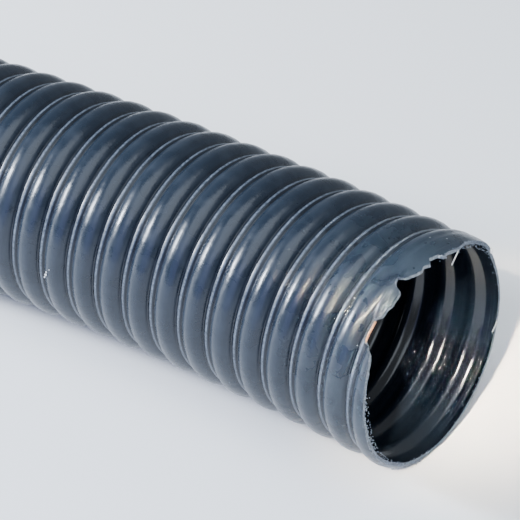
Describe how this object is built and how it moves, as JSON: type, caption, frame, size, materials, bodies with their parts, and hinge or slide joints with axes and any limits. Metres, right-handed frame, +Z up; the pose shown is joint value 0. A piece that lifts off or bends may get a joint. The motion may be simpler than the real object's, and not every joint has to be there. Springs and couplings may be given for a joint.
{
  "type": "wire reinforced rubber duct hose",
  "caption": "Cut length of black corrugated rubber duct hose with a helix of spring wire in the valleys of its wave, lying in a slight natural bend.",
  "frame": {"origin": "on the surface that the hose lies on, below the middle of its bounding box", "axes": "+X along the hose towards the hand-cut open end, +Z up; both ends turn a little towards -Y"},
  "size_m": [0.938, 0.2152, 0.169],
  "materials": {
    "rubber": "satin",
    "wire": "drawn"
  },
  "bodies": {
    "root": {"hose_wall": "rubber", "helix_wire": "wire"}
  },
  "joints": []
}
